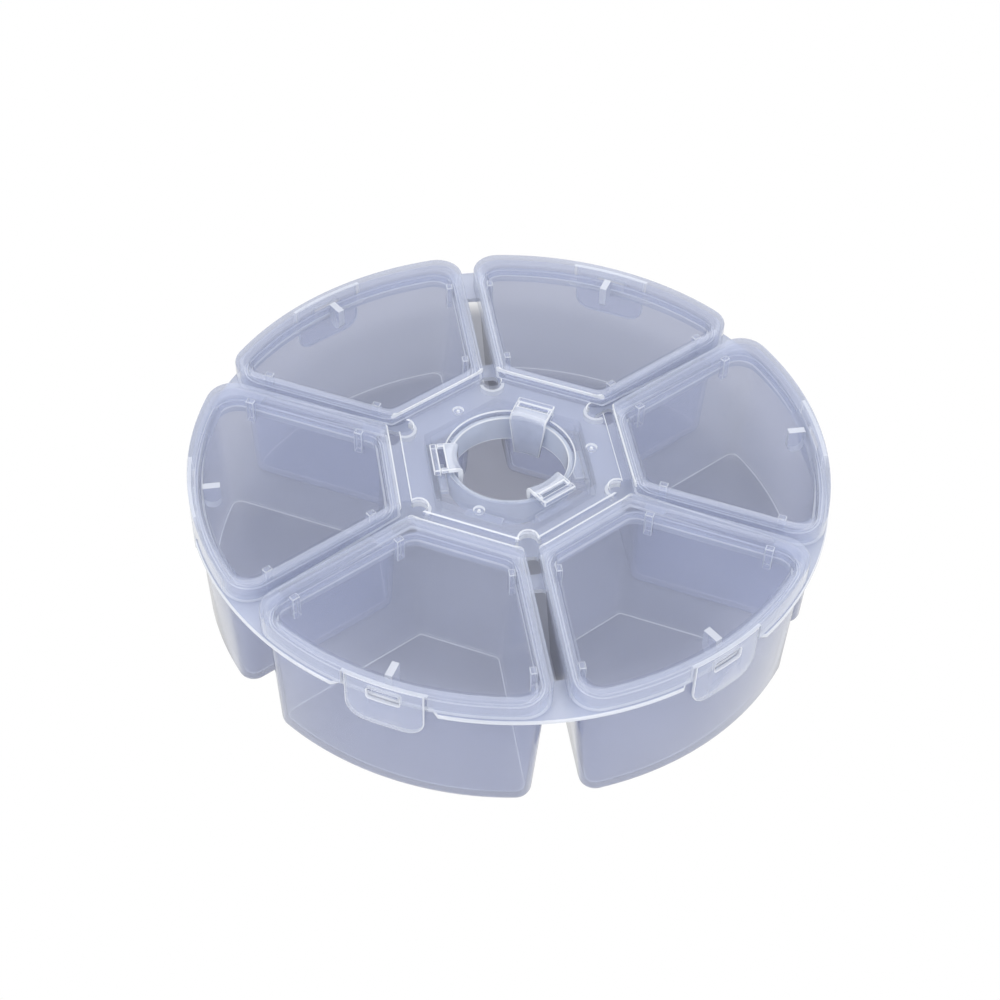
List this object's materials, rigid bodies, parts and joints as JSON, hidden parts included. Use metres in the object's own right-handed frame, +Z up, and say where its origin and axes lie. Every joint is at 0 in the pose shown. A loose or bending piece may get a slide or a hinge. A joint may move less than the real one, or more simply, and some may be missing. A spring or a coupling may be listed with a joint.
{
  "type": "compartment organizer box",
  "caption": "Round clear plastic organizer box: fan-shaped cups under latching lids on film hinges round a hexagonal hub with an open collar.",
  "frame": {"origin": "centre of the surface that the cups stand on, on the hub's axis", "axes": "+Z up along the hub axis, +X through the middle of lid 1, lids numbered anticlockwise from above"},
  "size_m": [0.1044, 0.105, 0.0264],
  "materials": {
    "cup_plastic": "translucent polypropylene, smooth moulded",
    "lid_plastic": "translucent polypropylene, smooth moulded",
    "deck_plastic": "translucent polypropylene, smooth moulded",
    "hub_plastic": "translucent polypropylene, smooth moulded",
    "latch_plastic": "translucent polypropylene, smooth moulded"
  },
  "bodies": {
    "tray": {"tray_deck": "deck_plastic", "cup_1": "cup_plastic", "cup_2": "cup_plastic", "cup_3": "cup_plastic", "cup_4": "cup_plastic", "cup_5": "cup_plastic", "cup_6": "cup_plastic", "hub_collar": "deck_plastic", "lid_hub": "hub_plastic", "hinge_film_1": "lid_plastic", "hinge_film_2": "lid_plastic", "hinge_film_3": "lid_plastic", "hinge_film_4": "lid_plastic", "hinge_film_5": "lid_plastic", "hinge_film_6": "lid_plastic"},
    "lid_1": {"lid_1": "lid_plastic"},
    "latch_1": {"latch_tab_1": "latch_plastic"},
    "lid_2": {"lid_2": "lid_plastic"},
    "latch_2": {"latch_tab_2": "latch_plastic"},
    "lid_3": {"lid_3": "lid_plastic"},
    "latch_3": {"latch_tab_3": "latch_plastic"},
    "lid_4": {"lid_4": "lid_plastic"},
    "latch_4": {"latch_tab_4": "latch_plastic"},
    "lid_5": {"lid_5": "lid_plastic"},
    "latch_5": {"latch_tab_5": "latch_plastic"},
    "lid_6": {"lid_6": "lid_plastic"},
    "latch_6": {"latch_tab_6": "latch_plastic"},
    "clip_1": {"retaining_clip_1": "latch_plastic"},
    "clip_2": {"retaining_clip_2": "latch_plastic"},
    "clip_3": {"retaining_clip_3": "latch_plastic"}
  },
  "joints": [
    {"name": "lid_1_hinge", "type": "hinge", "parent": "tray", "child": "lid_1", "pos_m": [0.01805, 0, 0.025], "axis": [0, -1, 0], "range_deg": [0, 90]},
    {"name": "latch_1_flex", "type": "hinge", "parent": "lid_1", "child": "latch_1", "pos_m": [0.0522, 0, 0.025], "axis": [0, -1, 0], "range_deg": [0, 12], "stiffness_Nm_per_rad": 0.02},
    {"name": "lid_2_hinge", "type": "hinge", "parent": "tray", "child": "lid_2", "pos_m": [0.00903, 0.01563, 0.025], "axis": [-0.866, 0.5, 0], "range_deg": [-90, 0]},
    {"name": "latch_2_flex", "type": "hinge", "parent": "lid_2", "child": "latch_2", "pos_m": [0.0261, 0.04521, 0.025], "axis": [0.866, -0.5, 0], "range_deg": [0, 12], "stiffness_Nm_per_rad": 0.02},
    {"name": "lid_3_hinge", "type": "hinge", "parent": "tray", "child": "lid_3", "pos_m": [-0.00903, 0.01563, 0.025], "axis": [0.866, 0.5, 0], "range_deg": [0, 90]},
    {"name": "latch_3_flex", "type": "hinge", "parent": "lid_3", "child": "latch_3", "pos_m": [-0.0261, 0.04521, 0.025], "axis": [0.866, 0.5, 0], "range_deg": [0, 12], "stiffness_Nm_per_rad": 0.02},
    {"name": "lid_4_hinge", "type": "hinge", "parent": "tray", "child": "lid_4", "pos_m": [-0.01805, 0, 0.025], "axis": [0, -1, 0], "range_deg": [-90, 0]},
    {"name": "latch_4_flex", "type": "hinge", "parent": "lid_4", "child": "latch_4", "pos_m": [-0.0522, 0, 0.025], "axis": [0, 1, 0], "range_deg": [0, 12], "stiffness_Nm_per_rad": 0.02},
    {"name": "lid_5_hinge", "type": "hinge", "parent": "tray", "child": "lid_5", "pos_m": [-0.00903, -0.01563, 0.025], "axis": [-0.866, 0.5, 0], "range_deg": [0, 90]},
    {"name": "latch_5_flex", "type": "hinge", "parent": "lid_5", "child": "latch_5", "pos_m": [-0.0261, -0.04521, 0.025], "axis": [-0.866, 0.5, 0], "range_deg": [0, 12], "stiffness_Nm_per_rad": 0.02},
    {"name": "lid_6_hinge", "type": "hinge", "parent": "tray", "child": "lid_6", "pos_m": [0.00903, -0.01563, 0.025], "axis": [0.866, 0.5, 0], "range_deg": [-90, 0]},
    {"name": "latch_6_flex", "type": "hinge", "parent": "lid_6", "child": "latch_6", "pos_m": [0.0261, -0.04521, 0.025], "axis": [-0.866, -0.5, 0], "range_deg": [0, 12], "stiffness_Nm_per_rad": 0.02},
    {"name": "clip_1_flex", "type": "hinge", "parent": "tray", "child": "clip_1", "pos_m": [0.00583, 0.01009, 0.0264], "axis": [-0.866, 0.5, 0], "range_deg": [0, 60], "stiffness_Nm_per_rad": 0.02},
    {"name": "clip_2_flex", "type": "hinge", "parent": "tray", "child": "clip_2", "pos_m": [-0.01165, 0, 0.0264], "axis": [0, -1, 0], "range_deg": [0, 60], "stiffness_Nm_per_rad": 0.02},
    {"name": "clip_3_flex", "type": "hinge", "parent": "tray", "child": "clip_3", "pos_m": [0.00583, -0.01009, 0.0264], "axis": [0.866, 0.5, 0], "range_deg": [0, 60], "stiffness_Nm_per_rad": 0.02}
  ]
}
